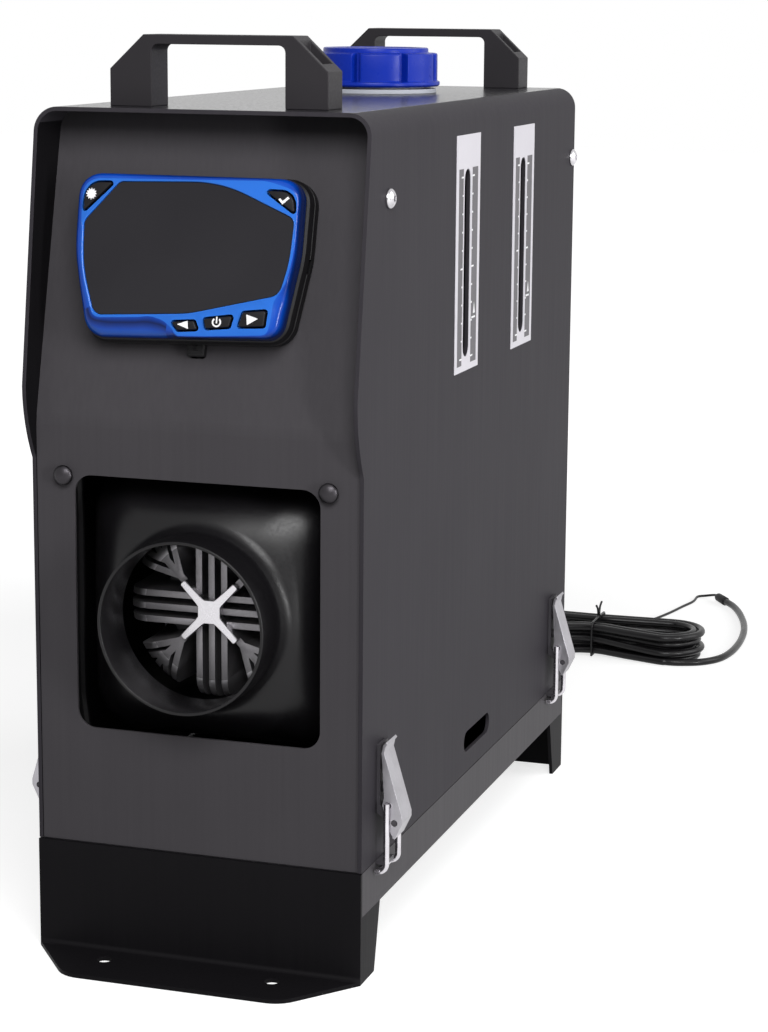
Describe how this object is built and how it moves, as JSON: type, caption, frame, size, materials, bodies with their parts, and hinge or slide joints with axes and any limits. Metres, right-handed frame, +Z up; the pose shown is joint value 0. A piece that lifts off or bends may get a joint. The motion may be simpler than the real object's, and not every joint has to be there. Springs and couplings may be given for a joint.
{
  "type": "portable fuel air heater",
  "caption": "Boxed portable air heater: sheet-metal case with tank, filler cap, level windows, display panel with keys, warm-air spigot, latches, carry handles and a hanked supply cord.",
  "frame": {"origin": "on the floor under the middle of the case, midway between the two bolt-down feet", "axes": "+X across the case towards the level windows, +Y from the display front to the rear panel, +Z up"},
  "size_m": [0.2081, 0.8085, 0.3987],
  "materials": {
    "painted_cover": "fine-textured dark grey powder coat",
    "painted_sheet": "dark grey powder coat",
    "black_moulding": "black moulded plastic",
    "grey_moulding": "pale grey moulded plastic",
    "blue_cap": "deep blue moulded plastic",
    "blue_bezel": "blue gloss plastic",
    "smoked_window": "smoked gloss window",
    "key_moulding": "dark grey keys",
    "tank_moulding": "dark smoke blow-moulded plastic",
    "plated_sheet": "zinc-plated sheet",
    "plated_wire": "bright plated wire and screws",
    "black_screw": "blackened screw",
    "label_film": "printed film label",
    "cast_aluminium": "die-cast aluminium",
    "stainless": "stainless tube",
    "motor_steel": "bare steel housings",
    "soft_rubber": "black rubber",
    "cord_jacket": "soft black cord jacket"
  },
  "bodies": {
    "case": {"cover_shell": "painted_cover", "front_panel": "painted_sheet", "rear_panel": "painted_sheet", "base_tray": "painted_sheet", "front_foot": "painted_sheet", "rear_foot": "painted_sheet", "front_handle": "black_moulding", "rear_handle": "black_moulding", "filler_neck": "grey_moulding", "fuel_tank": "tank_moulding", "tank_shelf": "plated_sheet", "level_labels": "label_film", "case_screws": "plated_wire", "panel_screws": "black_screw", "lcd_housing": "black_moulding", "lcd_bezel": "blue_bezel", "lcd_screen": "smoked_window", "controller_lead": "cord_jacket", "outlet_hood": "black_moulding", "jacket_lower": "black_moulding", "jacket_upper": "black_moulding", "heat_exchanger": "cast_aluminium", "burner_tube": "stainless", "glow_plug": "motor_steel", "blower_motor": "motor_steel", "intake_grille": "black_moulding", "control_unit": "black_moulding", "mounting_bridge": "plated_sheet", "exhaust_pipe": "stainless", "combustion_air_pipe": "black_moulding", "fuel_pump": "motor_steel", "pump_mount": "soft_rubber", "fuel_lines": "soft_rubber", "latch_bases": "plated_sheet", "latch_catches": "plated_sheet", "cable_gland": "soft_rubber", "power_lead": "cord_jacket", "cord_hank": "cord_jacket", "cord_tail": "cord_jacket", "tail_sleeve": "cord_jacket", "signal_wire": "cord_jacket", "wire_plug": "cord_jacket", "cord_tie": "cord_jacket"},
    "gasket": {"cap_gasket": "soft_rubber"},
    "cap": {"fuel_cap": "blue_cap"},
    "mode_key": {"key_mode": "key_moulding"},
    "confirm_key": {"key_confirm": "key_moulding"},
    "left_key": {"key_left": "key_moulding"},
    "power_key": {"key_power": "key_moulding"},
    "right_key": {"key_right": "key_moulding"},
    "rotor": {"warm_air_fan": "cast_aluminium", "combustion_impeller": "cast_aluminium"},
    "lever_front_right": {"lever_front_right": "plated_sheet"},
    "bail_front_right": {"bail_front_right": "plated_wire"},
    "lever_rear_right": {"lever_rear_right": "plated_sheet"},
    "bail_rear_right": {"bail_rear_right": "plated_wire"},
    "lever_front_left": {"lever_front_left": "plated_sheet"},
    "bail_front_left": {"bail_front_left": "plated_wire"},
    "lever_rear_left": {"lever_rear_left": "plated_sheet"},
    "bail_rear_left": {"bail_rear_left": "plated_wire"}
  },
  "joints": [
    {"name": "seal_rise", "type": "slide", "parent": "case", "child": "gasket", "axis": [0, 0, 1], "range_m": [0, 0.01]},
    {"name": "cap_turn", "type": "hinge", "parent": "gasket", "child": "cap", "pos_m": [0, 0.066, 0.38], "axis": [0, 0, 1], "range_deg": [0, 720]},
    {"name": "rotor_spin", "type": "hinge", "parent": "case", "child": "rotor", "pos_m": [0, 0.08675, 0.1545], "axis": [0, 1, 0], "continuous": true},
    {"name": "mode_press", "type": "slide", "parent": "case", "child": "mode_key", "axis": [0, 0.9724, -0.2334], "range_m": [0, 0.0008], "stiffness_N_per_m": 400},
    {"name": "confirm_press", "type": "slide", "parent": "case", "child": "confirm_key", "axis": [0, 0.9724, -0.2334], "range_m": [0, 0.0008], "stiffness_N_per_m": 400},
    {"name": "left_press", "type": "slide", "parent": "case", "child": "left_key", "axis": [0, 0.9724, -0.2334], "range_m": [0, 0.0008], "stiffness_N_per_m": 400},
    {"name": "power_press", "type": "slide", "parent": "case", "child": "power_key", "axis": [0, 0.9724, -0.2334], "range_m": [0, 0.0008], "stiffness_N_per_m": 400},
    {"name": "right_press", "type": "slide", "parent": "case", "child": "right_key", "axis": [0, 0.9724, -0.2334], "range_m": [0, 0.0008], "stiffness_N_per_m": 400},
    {"name": "latch_front_right", "type": "hinge", "parent": "case", "child": "lever_front_right", "pos_m": [0.0834, -0.14735, 0.0676], "axis": [0, 1, 0], "range_deg": [0, 95]},
    {"name": "hook_front_right", "type": "hinge", "parent": "lever_front_right", "child": "bail_front_right", "pos_m": [0.0805, -0.14735, 0.0752], "axis": [0, 1, 0], "range_deg": [-104.5, 0]},
    {"name": "latch_rear_right", "type": "hinge", "parent": "case", "child": "lever_rear_right", "pos_m": [0.0834, 0.14425, 0.0676], "axis": [0, 1, 0], "range_deg": [0, 95]},
    {"name": "hook_rear_right", "type": "hinge", "parent": "lever_rear_right", "child": "bail_rear_right", "pos_m": [0.0805, 0.14425, 0.0752], "axis": [0, 1, 0], "range_deg": [-104.5, 0]},
    {"name": "latch_front_left", "type": "hinge", "parent": "case", "child": "lever_front_left", "pos_m": [-0.0834, -0.14735, 0.0676], "axis": [0, -1, 0], "range_deg": [0, 95]},
    {"name": "hook_front_left", "type": "hinge", "parent": "lever_front_left", "child": "bail_front_left", "pos_m": [-0.0805, -0.14735, 0.0752], "axis": [0, -1, 0], "range_deg": [-104.5, 0]},
    {"name": "latch_rear_left", "type": "hinge", "parent": "case", "child": "lever_rear_left", "pos_m": [-0.0834, 0.14425, 0.0676], "axis": [0, -1, 0], "range_deg": [0, 95]},
    {"name": "hook_rear_left", "type": "hinge", "parent": "lever_rear_left", "child": "bail_rear_left", "pos_m": [-0.0805, 0.14425, 0.0752], "axis": [0, -1, 0], "range_deg": [-104.5, 0]}
  ],
  "couplings": [
    {"joint": "seal_rise", "follows": "cap_turn", "m_per_rad": 0.00079577},
    {"joint": "hook_front_right", "follows": "latch_front_right", "ratio": -1.1},
    {"joint": "hook_rear_right", "follows": "latch_rear_right", "ratio": -1.1},
    {"joint": "hook_front_left", "follows": "latch_front_left", "ratio": -1.1},
    {"joint": "hook_rear_left", "follows": "latch_rear_left", "ratio": -1.1}
  ]
}
